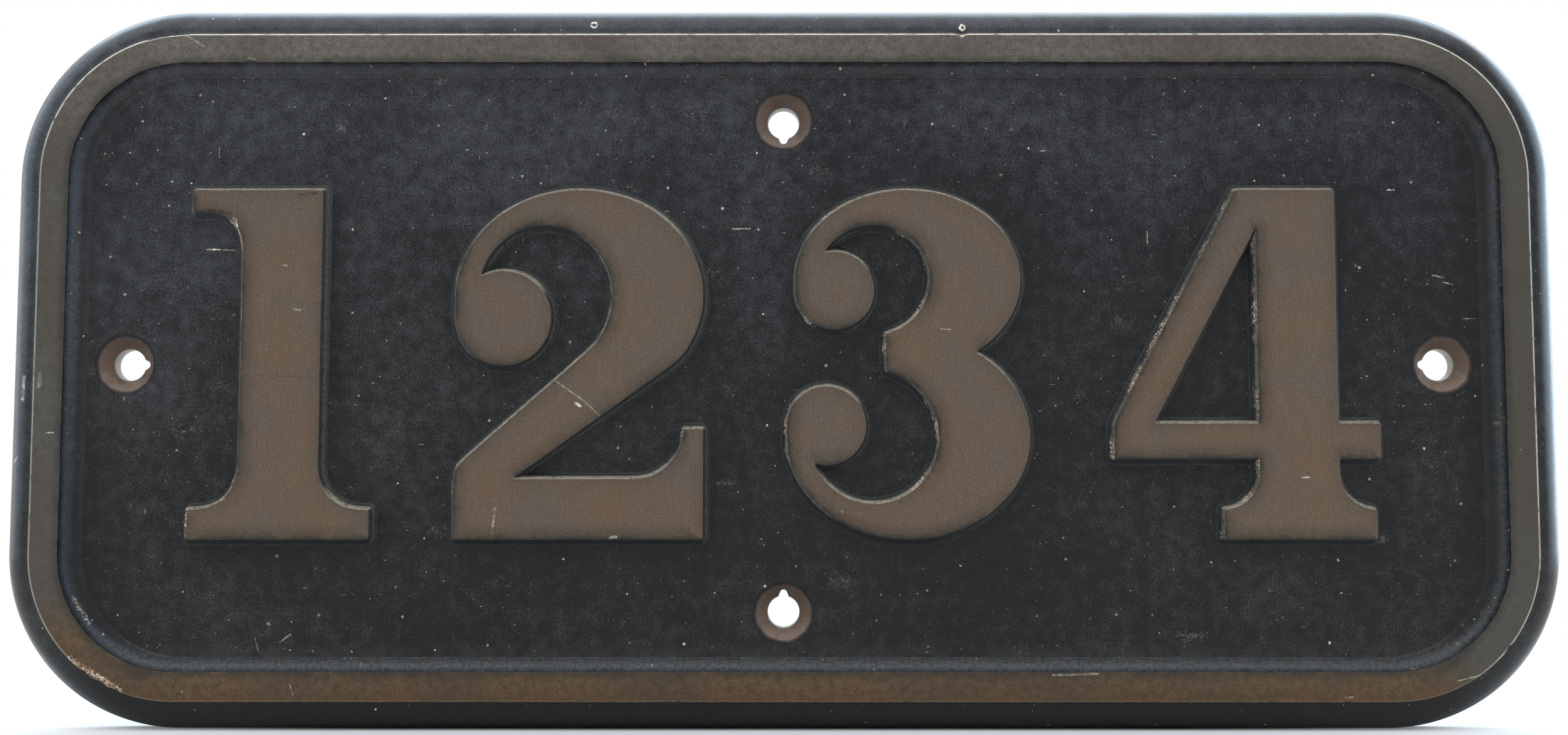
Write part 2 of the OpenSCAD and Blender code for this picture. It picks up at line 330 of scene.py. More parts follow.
def directions(loop):
    """Outward direction at each point of an anticlockwise outline, or into a clockwise hole."""
    along = np.roll(loop, -1, axis=0) - np.roll(loop, 1, axis=0)
    along /= np.hypot(*along.T)[:, None]
    return np.c_[along[:, 1], -along[:, 0]]


def moved_out(loop, distance):
    """The loop moved outwards, with points that would fold over pushed clear of the other side."""
    outward = directions(loop)
    moved = loop + distance * outward
    side = math.copysign(1, distance)
    for _ in range(FOLD_PASSES):
        nearest = nearest_on(loop, moved)
        short = abs(distance) - side * ((moved - loop[nearest]) * outward[nearest]).sum(1)
        fold = short > FOLD_SLACK
        moved[fold] += side * short[fold, None] * outward[nearest[fold]]
    along = np.c_[-outward[:, 1], outward[:, 0]]
    for i in range(1, len(moved)):
        if (moved[i] - moved[i - 1]) @ along[i] < LEAST_STEP:
            moved[i] = moved[i - 1]
    return moved


def eased(loop, passes, fixed):
    """The loop smoothed along its length, with fixed points kept."""
    loop = loop.copy()
    for _ in range(passes):
        middle = (np.roll(loop, 1, axis=0) + np.roll(loop, -1, axis=0)) / 2
        loop[~fixed] += 0.5 * (middle - loop)[~fixed]
    return loop


def evened(loop, step):
    """The loop with evenly spaced points."""
    closed = np.vstack([loop, loop[:1]])
    run = np.r_[0, np.cumsum(np.hypot(*np.diff(closed, axis=0).T))]
    at = np.linspace(0, run[-1], round(run[-1] / step), endpoint=False)
    return np.c_[np.interp(at, run, closed[:, 0]), np.interp(at, run, closed[:, 1])]


def front_edges(mesh):
    """The edges round a mesh's flat front, from the start of each to its end."""
    front = min(v.co.y for v in mesh.vertices) + FLAT * MM
    rim = set()
    for polygon in mesh.polygons:
        if all(mesh.vertices[i].co.y < front for i in polygon.vertices):
            corners = [mesh.vertices[i].co / MM for i in polygon.vertices]
            places = [(round(c.x, 3), round(c.z, 3)) for c in corners]
            for one, other in zip(places, places[1:] + places[:1]):
                if (other, one) in rim:
                    rim.remove((other, one))
                else:
                    rim.add((one, other))
    return dict(sorted(rim))


def smoothed(loop):
    """The loop with even spacing, smoothed between its corners and then a little at them."""
    loop = evened(loop, OUTLINE_STEP)
    before, after = loop - np.roll(loop, 2, axis=0), np.roll(loop, -2, axis=0) - loop
    turn = np.arctan2(before[:, 0] * after[:, 1] - before[:, 1] * after[:, 0], (before * after).sum(1))
    loop = eased(loop, SMOOTH_PASSES, np.abs(turn) > CORNER_TURN)
    return eased(loop, CORNER_PASSES, np.zeros(len(loop), bool))


def front_outlines(node):
    """Smooth outlines of a node's flat front, holes included, as arrays of (x, z)."""
    following = front_edges(frame["nodes"][node].data)
    loops = []
    while following:
        start, point = following.popitem()
        loop = [start]
        while point != start:
            loop.append(point)
            point = following.pop(point)
        loops.append(smoothed(np.array(loop)))
    return loops


def screw_places(node):
    """Centres of a node's screws as (x, z)."""
    groups = []
    for vertex in frame["nodes"][node].data.vertices:
        place = (vertex.co.x / MM, vertex.co.z / MM)
        group = next((g for g in groups if math.dist(g[0], place) < 2 * SCREW_APART), None)
        if group:
            group.append(place)
        else:
            groups.append([place])
    return [tuple((np.min(g, axis=0) + np.max(g, axis=0)) / 2) for g in groups]


def unevenness(points, span, depth, seed):
    """How far each point lies below the nominal surface, from nothing to depth."""
    def level(point):
        coarse = noise.noise(Vector(point) / span + Vector((seed, 0, 0)))
        fine = noise.noise(Vector(point) / (span * 0.31) + Vector((0, seed, 0)))
        return 0.5 + 0.35 * coarse + 0.15 * fine
    return depth * np.array([level(point) for point in points])


def lifted(loop, height):
    """A loop's points with one height, or with a height each."""
    return np.c_[loop, np.broadcast_to(height, len(loop))]


def mend(mesh):
    """Joins doubled points of a mesh and fills the small gaps that this leaves."""
    shape = bmesh.new()
    shape.from_mesh(mesh)
    bmesh.ops.remove_doubles(shape, verts=shape.verts, dist=WELD * MM)
    bmesh.ops.dissolve_degenerate(shape, edges=shape.edges, dist=THIN * MM)
    rims = [edge for edge in shape.edges if edge.is_boundary]
    for face in bmesh.ops.holes_fill(shape, edges=rims, sides=GAP_SIDES)["faces"]:
        if not any(edge.is_contiguous for edge in face.edges):
            face.normal_flip()
    shape.to_mesh(mesh)
    shape.free()


class Solid:
    """A closed shape that grows ring by ring, with points as (x, z, height)."""

    def __init__(self):
        self.points = []
        self.faces = []
        self.zones = {}

    def ring(self, loop, height):
        """Adds a loop at one height, or with a height for each point, and returns its numbers."""
        first = len(self.points)
        self.points += lifted(loop, height).tolist()
        return list(range(first, len(self.points)))

    def bridge(self, rings, zone=0):
        """Joins each ring to the next with faces of one material, which look outwards where they climb."""
        for one, other in zip(rings, rings[1:]):
            self.zones.update((len(self.faces) + i, zone) for i in range(len(one)))
            self.faces += list(zip(one, one[1:] + one[:1], other[1:] + other[:1], other))

    def sheet(self, rings, spacing, height, front=True):
        """Closes rings with triangles that look to the front or the back."""
        inner, triangles = filled([np.array([self.points[i][:2] for i in ring]) for ring in rings], spacing)
        numbers = sum(rings, []) + self.ring(inner, height)
        self.faces += [tuple(numbers[i] for i in triangle[::1 if front else -1]) for triangle in triangles]

    def hole(self, centre, count, section):
        """Adds a round hole from (radius, height) pairs, and returns its first and last ring."""
        rings = [self.ring(circle(centre, radius, count), height) for radius, height in section]
        self.bridge(rings)
        return rings[0], rings[-1]

    def piece(self, name, node, slot, materials, **values):
        """Makes the object that stands for a node, with one number per point for each named value."""
        mesh = bpy.data.meshes.new(name)
        mesh.from_pydata([(x * MM, -h * MM, z * MM) for x, z, h in self.points], [], self.faces)
        mesh.polygons.foreach_set("material_index", [self.zones.get(i, 0) for i in range(len(self.faces))])
        for key, numbers in values.items():
            held = mesh.attributes.new(key, "FLOAT", "POINT")
            held.data.foreach_set("value", np.array(numbers, np.float32))
        mend(mesh)
        mesh.shade_smooth()
        mesh.set_sharp_from_angle(angle=SHARP_TURN)
        for material in materials:
            mesh.materials.append(material)
        made = in_scene(name, mesh)
        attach(made, "root")
        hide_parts(node)
        return made


# Cast-iron backing plate

def keyhole():
    """Distance from a fixing hole's centre to its wall all round, with the notch at angle zero."""
    along, across = rays(HOLE_POINTS).T
    side = np.abs(across)
    tip = NOTCH_REACH - NOTCH_W / 2
    straight = NOTCH_W / 2 / np.maximum(side, 1e-6)
    rounded = tip * along + np.sqrt(np.maximum((NOTCH_W / 2) ** 2 - (tip * side) ** 2, 0))
    notch = np.where(straight * along < tip, straight, rounded)
    wall = np.where(along > 0, np.maximum(notch, FIX_R), FIX_R)
    return sum(np.roll(wall, shift) for shift in NOTCH_BLUR) / len(NOTCH_BLUR)


def fixing_hole(solid, centre, turn):
    """Adds a countersunk fixing hole with its notch, and returns its front and back ring."""
    ray = rays(HOLE_POINTS, turn)
    wall = keyhole()

    def ring(radius, height):
        return solid.ring(np.add(centre, ray * np.broadcast_to(radius, len(ray))[:, None]), height)

    def sink(radius):
        return FIELD - (SINK_R - radius) / (SINK_R - FIX_R) * SINK_DEPTH

    rings = [ring(SINK_R + further, FIELD + rise) for further, rise in SINK_EDGE]
    for share in SINK_SHARES:
        radius = SINK_R + (wall - SINK_R) * share
        rings.append(ring(radius, sink(radius)))
    rings.append(ring(wall, sink(wall) - BORE_EDGE))
    rings += [ring(wall, sink(wall) * share) for share in BORE_SHARES]
    rings += [ring(wall + further, height) for further, height in BORE_BACK]
    solid.bridge(rings)
    return rings[0], rings[-1]


def grime_beside(points, outlines):
    """How dark the field is from dirt and painted shade beside the numerals, most to their right, and along
    its own two ends, and below 0 how dusty.
    """
    reach, away = away_from(np.vstack(outlines), points)
    grime = fade(reach, GRIME_AND_SHADE_REACH) ** GRIME_AND_SHADE_FALL * (0.6 + 0.4 * away[:, 0])
    grime -= DUST_WEIGHT * fade(reach, DUST_REACH) * np.clip(away[:, 1], 0, 1)
    ends = HALF_W - COVE_IN - np.abs(points[:, 0])
    grime = np.maximum(grime, END_WEIGHT * fade(ends, GRIME_AND_SHADE_REACH))
    foot = HALF_H - COVE_IN + points[:, 1]
    dust = fade(foot, DUST_REACH) * np.clip(ends / GRIME_AND_SHADE_REACH, 0, 1)
    return grime - FOOT_WEIGHT * dust


def plate_holes(solid, centres):
    """Adds the fixing holes and the screws' holes, and returns their front and their back rings."""
    ends = [fixing_hole(solid, centre, math.atan2(-centre[1], -centre[0])) for centre in centres]
    section = [(SCREW_HOLE_R, FIELD), (SCREW_HOLE_R, SCREW_SEAT_H), (SCREW_SEAT_R, 0.0)]
    for node in SCREWS:
        ends += [solid.hole(centre, SCREW_POINTS, section) for centre in screw_places(node)]
    return zip(*ends)


def build_plate(material, outlines):
    solid = Solid()
    edge, _ = rounded_path(PLATE_HALF_W, PLATE_HALF_H, CORNER_R - (HALF_W - PLATE_HALF_W), PLATE_STEP)
    sides = [solid.ring(edge, height) for height in (0.0, FIELD / 2, FIELD)]
    solid.bridge(sides)
    bores = [mount["pos_m"] for mount in frame["record"]["mounts"] if mount["kind"] == "bore"]
    centres = [(x / MM, z / MM) for x, _, z in bores]
    front, back = plate_holes(solid, centres)
    solid.sheet([sides[-1], *front], FIELD_STEP, FIELD)
    solid.sheet([sides[0], *back], BACK_STEP, 0.0, front=False)
    points = np.array(solid.points)
    gaps = points[:, None, :2] - np.array(centres)
    reach = np.hypot(gaps[..., 0], gaps[..., 1])
    hole = reach.min(1)
    above = gaps[np.arange(len(points)), reach.argmin(1), 1]
    upper = points[:, 2] > FIELD - FIELD_SKIN
    rough = (points[:, 2] < BACK_SKIN) & (hole > SINK_R)
    points[upper, 2] -= unevenness(points[upper], *FIELD_CAST)
    points[rough, 2] += unevenness(points[rough], *BACK_CAST)
    solid.points = points.tolist()
    return solid.piece("painted_plate", "backing_plate", "black_iron", [material],
                       hole=hole, above=above, lift=points[:, 2], grime=grime_beside(points[:, :2], outlines))


# Brass border moulding

def arc(centre, radius, start, end, count):
    """Points on an arc, from one angle to another in degrees."""
    angles = np.radians(np.linspace(start, end, count))
    return [(centre[0] + radius * math.cos(a), centre[1] + radius * math.sin(a)) for a in angles]


def moulding_section():
    """Section of the moulding as (inset from its outer edge, height, further inset on upright sides)."""
    side_z = RIM - SIDE_DROP - SIDE_W
    front = BACK_EDGE + [(0.0, side_z / 2)]
    front += arc((SIDE_W, side_z), SIDE_W, 180, 94, 15)
    front += [(SIDE_W + inset, RIM - SIDE_DROP + rise) for inset, rise in STEP_EDGE]
    front += arc((SIDE_W + ARRIS_R, RIM - ARRIS_R), ARRIS_R, 180, 90, 5)
    front += [(inset, RIM) for inset in np.linspace(SIDE_W + 1.0, BAND_IN - 1.0, 8)]
    front += arc((BAND_IN - ARRIS_R, RIM - ARRIS_R), ARRIS_R, 90, 0, 5)
    front += arc((COVE_IN, FIELD + TOE + COVE_R), COVE_R, 188, 268, 11)
    toe = [(COVE_IN + reach, FIELD + height, further) for reach, height, further in TOE_SECTION]
    ledge = FIELD - LEDGE_SINK
    back = [(COVE_IN, ledge), (LIP + 1.0, ledge), (LIP, ledge), (LIP, FIELD / 2), (LIP, 0.0)]
    return np.array([(*place, 0.0) for place in front] + toe + [(*place, 0.0) for place in back])


def knocked(loop):
    """Depth of the knocks at each point of a loop."""
    depth = np.zeros(len(loop))
    for x, z, radius, deepest in DENTS:
        near = fade(np.hypot(*(loop - (x, z)).T), radius)
        depth += deepest * near ** 2 * (3 - 2 * near)
    return depth


def worn_depth(loop, inset, height):
    """How far each point of one of the moulding's loops lies below its nominal place."""
    if height <= SEEN_FROM or inset >= COVE_IN or height <= FIELD - inset:
        return np.zeros(len(loop))
    flat = SIDE_W - BARE_MARGIN < inset < BAND_IN + ZONE_MARGIN and height > RIM - 1
    depth = unevenness(lifted(loop, height), *(BAND_CAST if flat else SIDE_CAST))
    return depth + knocked(loop) if height > FIELD else depth


def build_border(materials):
    section = moulding_section()
    path, outward = rounded_path(HALF_W, HALF_H, CORNER_R, BORDER_STEP)
    solid = Solid()
    rings = []
    for (inset, height, further), push in zip(section, directions(section[:, :2])):
        loop = path - outward * (inset + further * np.abs(outward[:, :1]))
        depth = worn_depth(loop, inset, height)
        rings.append(solid.ring(loop - outward * (push[0] * depth)[:, None], height + push[1] * depth))
    insets = section[:, 0]
    for i, middle in enumerate((insets + np.roll(insets, -1)) / 2):
        zone = 0 if middle < SIDE_W - ZONE_MARGIN else 1 if middle < BAND_IN + ZONE_MARGIN else 2
        solid.bridge([rings[i], rings[(i + 1) % len(rings)]], zone)
    right, up = np.tile(outward, (len(section), 1)).T
    return solid.piece("border_frame", "border_moulding", "border_brass", materials,
                       inset=np.repeat(insets, len(path)), right=right, up=up)


# Brass numerals

def numeral_edge(solid, loop):
    """Adds the edge along one outline, from the face out and down, and returns its first and last ring."""
    outward = directions(loop)
    wobble = unevenness(lifted(loop, 0.0), *OUTLINE_CAST) - OUTLINE_CAST[1] / 2
    rings = []
    for out, drop in EDGE_SECTION:
        share = 1 - min(abs(out) / WOBBLE_REACH, 1)
        moved = moved_out(loop, out) + (wobble * share)[:, None] * outward
        cast = unevenness(lifted(moved, RIM - drop), *FACE_CAST) * (1 - drop / CAST_DROP)
        rings.append(solid.ring(moved, RIM - drop - cast))
    solid.bridge(rings[:FACE_RINGS][::-1])
    solid.bridge(rings[FACE_RINGS - 1:][::-1], 1)
    return rings[0], rings[-1]


def build_numeral(node, materials, outlines):
    solid = Solid()
    face, foot = map(list, zip(*[numeral_edge(solid, loop) for loop in outlines]))
    outs = [out for out, _ in EDGE_SECTION]
    edges = np.concatenate([np.repeat(outs, len(loop)) for loop in outlines])
    facing = np.vstack([np.tile(directions(loop), (len(outs), 1)) for loop in outlines])
    solid.sheet(face, FACE_STEP, RIM)
    inner = np.array(solid.points[len(edges):])
    inner[:, 2] -= unevenness(inner, *FACE_CAST)
    solid.points[len(edges):] = inner.tolist()
    reach, away = away_from(np.vstack(outlines), inner[:, :2])
    for centre in screw_places(node + "_screws"):
        top, bottom = solid.hole(centre, SCREW_POINTS, [(BLIND_R, FIELD + BLIND_DEPTH), (BLIND_R, FOOT)])
        solid.faces.append(tuple(top[::-1]))
        foot.append(bottom)
    solid.sheet(foot, FOOT_STEP, FOOT, front=False)
    hidden = len(solid.points) - len(edges) - len(inner)
    right, up = np.vstack([facing, -away, np.zeros((hidden, 2))]).T
    return solid.piece(node + "_brass", node, "numeral_brass", materials,
                       edge=np.r_[edges, -reach, np.full(hidden, outs[-1])], right=right, up=up)


# Materials

def add_node(tree, kind, inputs=(), **settings):
    """Adds a node to a tree, with a socket or a plain value at its inputs, and returns its outputs."""
    made = tree.nodes.new(kind)
    for key, value in settings.items():
        setattr(made, key, value)
    for key, value in dict(inputs).items():
        if isinstance(value, bpy.types.NodeSocket):
            tree.links.new(value, made.inputs[key])
        else:
            made.inputs[key].default_value = value
    return made.outputs


def next_node(kind, inputs, **settings):
    """The same, in the tree that the sockets among its inputs belong to."""
    tree = next(value.id_data for value in inputs.values() if isinstance(value, bpy.types.NodeSocket))
    return add_node(tree, kind, inputs, **settings)


def vector(operation, one, other=(0.0, 0.0, 0.0), **inputs):
    return next_node("ShaderNodeVectorMath", {0: one, 1: other, **inputs}, operation=operation)[0]


def length(offset):
    return next_node("ShaderNodeVectorMath", {0: offset}, operation="LENGTH")["Value"]


def joined(first, second):
    return next_node("ShaderNodeCombineXYZ", {"X": first, "Y": second})[0]


def calculated(operation, first, *others):
    """Values taken together from left to right by one operation."""
    for other in others:
        first = next_node("ShaderNodeMath", {0: first, 1: other}, operation=operation)[0]
    return first


most = partial(calculated, "MAXIMUM")
times = partial(calculated, "MULTIPLY")
add = partial(calculated, "ADD")


def absolute(value):
    return calculated("ABSOLUTE", value, 0.0)


def weighted(*pairs):
    """A sum of values with a weight each."""
    return add(*[times(value, weight) for value, weight in pairs])


def ramp(value, low, high, to_low=0.0, to_high=1.0):
    """A smooth step from one value to another."""
    inputs = {"Value": value, "From Min": low, "From Max": high, "To Min": to_low, "To Max": to_high}
    return next_node("ShaderNodeMapRange", inputs, interpolation_type="SMOOTHSTEP")["Result"]


def stripe(value, middle, half):
    """One at the middle value, fading to nothing at half a width from it."""
    return ramp(absolute(add(value, -middle)), half, 0.3 * half)


def mix(share, one, other):
    """A colour between two."""
    return next_node("ShaderNodeMix", {0: share, 6: one, 7: other}, data_type="RGBA")[2]


class Look:
    """A material with sizes in mm. Its patterns lie flat on the front, or run through the depth
    too where a piece shows its walls."""

    def __init__(self, name, walls=False):
        self.material = bpy.data.materials.new(name)
        self.material.use_nodes = True
        self.material.node_tree.nodes.clear()
        where = self.node("ShaderNodeTexCoord")["Object"]
        scaled = vector("SCALE", where, Scale=1 / MM)
        axes = self.node("ShaderNodeSeparateXYZ", {"Vector": scaled})
        self.x, self.y, self.z = axes["X"], axes["Y"], axes["Z"]
        self.place = self.node("ShaderNodeCombineXYZ", {"X": self.x, "Y": self.z, "Z": self.y})[0]
        self.dimensions = "3D" if walls else "2D"

    def node(self, kind, inputs=(), **settings):
        return add_node(self.material.node_tree, kind, inputs, **settings)

    def value(self, name):
        """A number that the mesh holds at each point."""
        return self.node("ShaderNodeAttribute", attribute_name=name)["Fac"]

    def grain(self, size, detail=3.0, roughness=0.55, stretch=(1.0, 1.0)):
        """Noise from 0 to 1 with lumps of a size."""
        place = vector("DIVIDE", self.place, (*stretch, 1.0))
        inputs = {"Vector": place, "Scale": 1 / size, "Detail": detail, "Roughness": roughness}
        return self.node("ShaderNodeTexNoise", inputs, noise_dimensions=self.dimensions)["Fac"]

    def ragged(self, reach, *grain):
        """Noise about 0, up to half a reach either way."""
        return times(add(self.grain(*grain), -0.5), reach)

    def patchy(self, size, low, high, **settings):
        """Noise sharpened into patches."""
        return ramp(self.grain(size, **settings), low, high)

    def spots(self, size, radius, share, stretch=(1.0, 1.0)):
        """Ragged spots of up to a radius and of many strengths, in a share of the cells of a size."""
        inputs = {"Vector": self.place, "Scale": 1.4, "Detail": 1.0}
        ragged = self.node("ShaderNodeTexNoise", inputs, noise_dimensions=self.dimensions)["Color"]
        shaken = vector("ADD", self.place, vector("SCALE", ragged, Scale=1.2 * radius))
        if self.dimensions == "3D":
            size = (2 * radius * size ** 2) ** (1 / 3)
        inputs = {"Vector": vector("DIVIDE", shaken, (*stretch, 1.0)), "Scale": 1 / size}
        cells = self.node("ShaderNodeTexVoronoi", inputs, voronoi_dimensions=self.dimensions)
        chance = self.node("ShaderNodeSeparateColor", {"Color": cells["Color"]})
        reach = times(chance["Green"], radius / size)
        shape = ramp(calculated("SUBTRACT", reach, cells["Distance"]), 0.0, 0.5 * radius / size)
        strength = add(times(chance["Blue"], chance["Blue"], 0.85), 0.15)
        return times(shape, strength, calculated("LESS_THAN", chance["Red"], share))

    def away(self, start, end):
        """Distance from the line between two places, both (x, z)."""
        span = (end[0] - start[0], end[1] - start[1], 0.0)
        offset = vector("SUBTRACT", joined(self.x, self.z), (*start, 0.0))
        along = self.node("ShaderNodeVectorMath", {0: offset, 1: span}, operation="DOT_PRODUCT")
        squared = sum(v * v for v in span) or 1.0
        share = calculated("DIVIDE", along["Value"], squared)
        share = self.node("ShaderNodeClamp", {"Value": share})[0]
        return length(vector("SUBTRACT", offset, vector("SCALE", span, Scale=share)))

    def strokes(self, marks):
        """Broken lines, each from one (x, z) to another with a width and a strength."""
        ragged = self.ragged(1.6, 0.7, 3.0, 0.7)
        broken = ramp(self.grain(2.2, 2.0), 0.4, 0.6, 0.35, 1.0)
        found = 0.0
        for start, end, width, strength in marks:
            away = add(self.away(start, end), times(ragged, width))
            found = most(found, times(ramp(away, 0.6 * width, 0.25 * width), strength))
        return times(found, broken)

    def finish(self, colour, roughness, height, depth, specular=0.5, metallic=0.0):
        """Ends in a shader with bumps of a depth."""
        bump = self.node("ShaderNodeBump", {"Height": height, "Strength": 1.0, "Distance": depth * MM})
        inputs = {"Base Color": colour, "Roughness": roughness, "Normal": bump["Normal"],
                  "Specular IOR Level": specular, "Metallic": metallic}
        surface = self.node("ShaderNodeBsdfPrincipled", inputs)
        self.node("ShaderNodeOutputMaterial", {"Surface": surface["BSDF"]})
        return self.material


# Colours of paint, dust, brass, rust and screws, and of painted shade, light and reflections
INK = rgb(13, 15, 19)
INK_WARM = rgb(15, 16, 16)
# Soot black, also used as painted shade beside the raised work and at the cove's foot
SOOT_AND_SHADE = rgb(11, 12, 14)
UNDERSIDE_SHADE = rgb(9, 8, 6)
DUST = rgb(68, 69, 72)
DUST_WARM = rgb(66, 67, 66)
WALL_DUST = rgb(60, 58, 56)
COVE_DUST_AND_LIGHT = rgb(70, 71, 72)
COVE_BLUE_REFLECTION = rgb(56, 64, 76)
COVE_OLIVE_SHADE = rgb(40, 39, 33)
# Pale dust, also the painted highlight along the numerals' edges
PALE_DUST_AND_GLINT = rgb(150, 143, 128)
SPECK = rgb(224, 219, 200)
PINK_SPECK = rgb(212, 178, 150)
PATINA = rgb(120, 97, 76)
PATINA_GREY = rgb(110, 98, 88)
BROWN_SHADE = rgb(82, 68, 56)
OLIVE = rgb(92, 90, 84)
TOP_REFLECTION_GREY = rgb(119, 112, 104)
UMBER = rgb(114, 90, 64)
ORANGE_EDGE = rgb(112, 80, 46)
DEEP_BROWN = rgb(68, 62, 56)
DEEP_UMBER = rgb(62, 48, 33)
DARK_EDGE = rgb(44, 43, 38)
BRIGHT_BRASS_GLINT = rgb(210, 202, 184)
BARE_CHIP = rgb(205, 150, 110)
RUST = rgb(100, 72, 55)
RUST_GREY = rgb(88, 80, 72)
RUST_SHADE = rgb(42, 34, 28)
RUST_LIT = rgb(124, 106, 92)
BORE_RUBBED_AND_LIT = rgb(150, 143, 136)
CRUST = rgb(50, 45, 42)
CRUST_RUST = rgb(70, 54, 45)
SCREW_COLOUR = rgb(122, 103, 78)
SCREW_DARK = rgb(68, 59, 48)

# Marks as start, end, width and strength, in mm
FIELD_MARKS = [((-211, 42.1), (-206.4, 42.1), 0.6, 1), ((-206, 42), (-200.6, 41.8), 0.35, 0.5),
               ((210.1, 35.5), (210.3, 35.5), 1.3, 1), ((204.6, -32.2), (204.8, -32.2), 0.9, 0.9),
               ((260.6, 79.8), (260.9, 79.8), 1.2, 1), ((22.4, 99.5), (22.5, 99.5), 0.9, 0.9),
               ((-42.6, 64.8), (-42.4, 64.8), 0.9, 0.8), ((237.1, 32.5), (241.2, 31.6), 0.6, 0.4),
               ((240.6, 30), (244.3, 29.1), 0.5, 0.5), ((-18.6, 49.7), (-12.2, 49.7), 0.45, 0.6),
               ((133.1, 48.9), (133.1, 44.3), 0.35, 0.5), ((247.6, 16.6), (252.2, 16.6), 0.4, 0.4),
               ((-181.3, -100.4), (-177.7, -97.7), 0.6, 0.3), ((-190.4, -98.8), (-188.7, -104.4), 0.45, 0.25),
               ((221.2, 64), (223.8, 64), 0.6, 0.8), ((-207.4, 79.7), (-207.3, 76), 0.35, 0.35),
               ((-167.6, -90.7), (-167.4, -90.7), 1, 0.8)]
SIDE_MARKS = [((-275.3, -13), (-275, -5), 1.6, 0.4), ((-279, -36), (-277, -34), 0.8, 0.5)]
BAND_MARKS = [((-220.5, 121.5), (-212, 116.4), 0.7, 0.4), ((-195.6, 112.1), (-193.4, 111.6), 0.8, 0.4),
              ((65, 120.2), (66, 120.4), 1, 0.9), ((-265.6, -25.1), (-263, -25.1), 0.5, 0.7),
              ((-268.8, -8.6), (-268.6, -4), 1.5, 0.3), ((240, -113.5), (250.5, -111), 0.4, 0.5),
              ((-176, -114.8), (-174.6, -118.8), 0.5, 0.3), ((96.1, -111.5), (112, -111), 0.8, 0.35)]
BAND_CHIPS = [((-254.9, -105.7), (-236.7, -116.7), 2, 1), ((200.2, -119.5), (202.6, -119.3), 1.1, 0.9)]
BAND_SMEARS = [((-229, 120.7), (-214.5, 121.4), 1.6, 0.7)]
COVE_MARKS = [((-255.6, -84.5), (-249.6, -93.6), 1.2, 0.5)]
RING_CHIPS = [(-69.5, 124.7), (65.5, 123.5)]
NUMERAL_MARKS = [((-86.1, -3.9), (-72, -13.6), 0.7, 0.3), ((-72, -13.6), (-58.9, -26), 0.6, 0.35),
                 ((-74.9, -14.4), (-73.4, -15.4), 1.1, 1), ((-62, -62.7), (-60.2, -62.5), 1.2, 1),
                 ((-181.5, 35.6), (-180, 35.4), 0.7, 0.25), ((-177.6, 19.8), (-175, 19.2), 0.8, 0.25),
                 ((57, 12.4), (60.2, 12.2), 0.6, 0.5), ((186.4, -41.2), (188.8, -41.2), 0.7, 0.6)]
EDGE_CHIPS = [((-199.6, 52.4), (-197.4, 42), 1.5, 0.9), ((-197.2, 41), (-196.8, 16), 1.3, 0.8),
              ((-197.4, -38), (-201.4, -49), 1.5, 0.6), ((-214.6, -52.6), (-215.4, -62), 1.7, 0.9),
              ((-215.4, 63), (-215.2, 55), 0.9, 0.6), ((-103.6, -52.1), (-104.4, -61), 1, 0.5)]
NUMERAL_SMEARS = [((-175.7, 61.6), (-169.5, 61.9), 1.2, 0.6), ((-208.5, 55.6), (-201, 54.6), 1.4, 0.7),
                  ((-195.7, -4.3), (-166.9, -5.2), 0.5, 0.25)]

# Depth of the bumps, gloss of the paints, and how far the aged brass counts as metal
PAINT_BUMP = 0.12
WALL_BUMP = 0.08
BRASS_BUMP = 0.06
SMOOTH_BUMP = 0.05
PAINT_GLOSS = 0.3
SIDE_GLOSS = 0.37
COVE_GLOSS = 0.4
BRASS_METAL = 0.45
ARRIS_METAL = 0.9
SCREW_METAL = 0.8

# Stretch of the marks and streaks, across and up
DASH = (5, 0.8)
TICK = (0.8, 5)
SMUDGE = (1.8, 1)
STREAK = (1, 9)


def paint(look):
    """Old black paint: colour, roughness, height and where it is chipped to pale specks."""
    fine = look.grain(0.8, 4, 0.78)
    patch = look.grain(5.5, 4, 0.65)
    broad = look.grain(55, 2)
    dust = weighted((fine, 0.62), (patch, 0.34), (broad, 0.18))
    high = add(look.z, times(look.x, -0.35))
    dust = ramp(add(dust, ramp(high, -20, 140, -0.04, 0.05)), 0.46, 0.85)
    cool = ramp(add(look.z, times(broad, 90)), -30, 130)
    colour = mix(dust, mix(cool, INK_WARM, INK), mix(cool, DUST_WARM, DUST))
    smudges = times(look.spots(19, 3.4, 0.7, SMUDGE), ramp(fine, 0.4, 0.68))
    smudges = times(smudges, look.patchy(2.2, 0.46, 0.62), 0.7)
    colour = mix(smudges, colour, PALE_DUST_AND_GLINT)
    roughness = add(weighted((dust, 0.2), (fine, 0.15)), 0.34)
    return colour, roughness, weighted((fine, 0.6), (patch, 0.3)), paint_specks(look, patch)


def paint_specks(look, patch):
    """Pale specks of three sizes in the paint, with short dashes and ticks."""
    tiny = times(look.spots(4.6, 0.32, 0.75), ramp(patch, 0.42, 0.6, 0.3, 1), 0.7)
    small = times(look.spots(10, 0.6, 0.6), 0.9)
    large = look.spots(31, 0.85, 0.4)
    return most(tiny, small, large, look.spots(9, 0.3, 0.2, DASH), look.spots(10, 0.3, 0.15, TICK))


def field_paint(look):
    """The paint of the sunk field: colour, roughness and height."""
    colour, roughness, height, specks = paint(look)
    pale = mix(look.patchy(5, 0.5, 0.56, detail=1), SPECK, PINK_SPECK)
    return mix(most(specks, look.strokes(FIELD_MARKS)), colour, pale), roughness, height


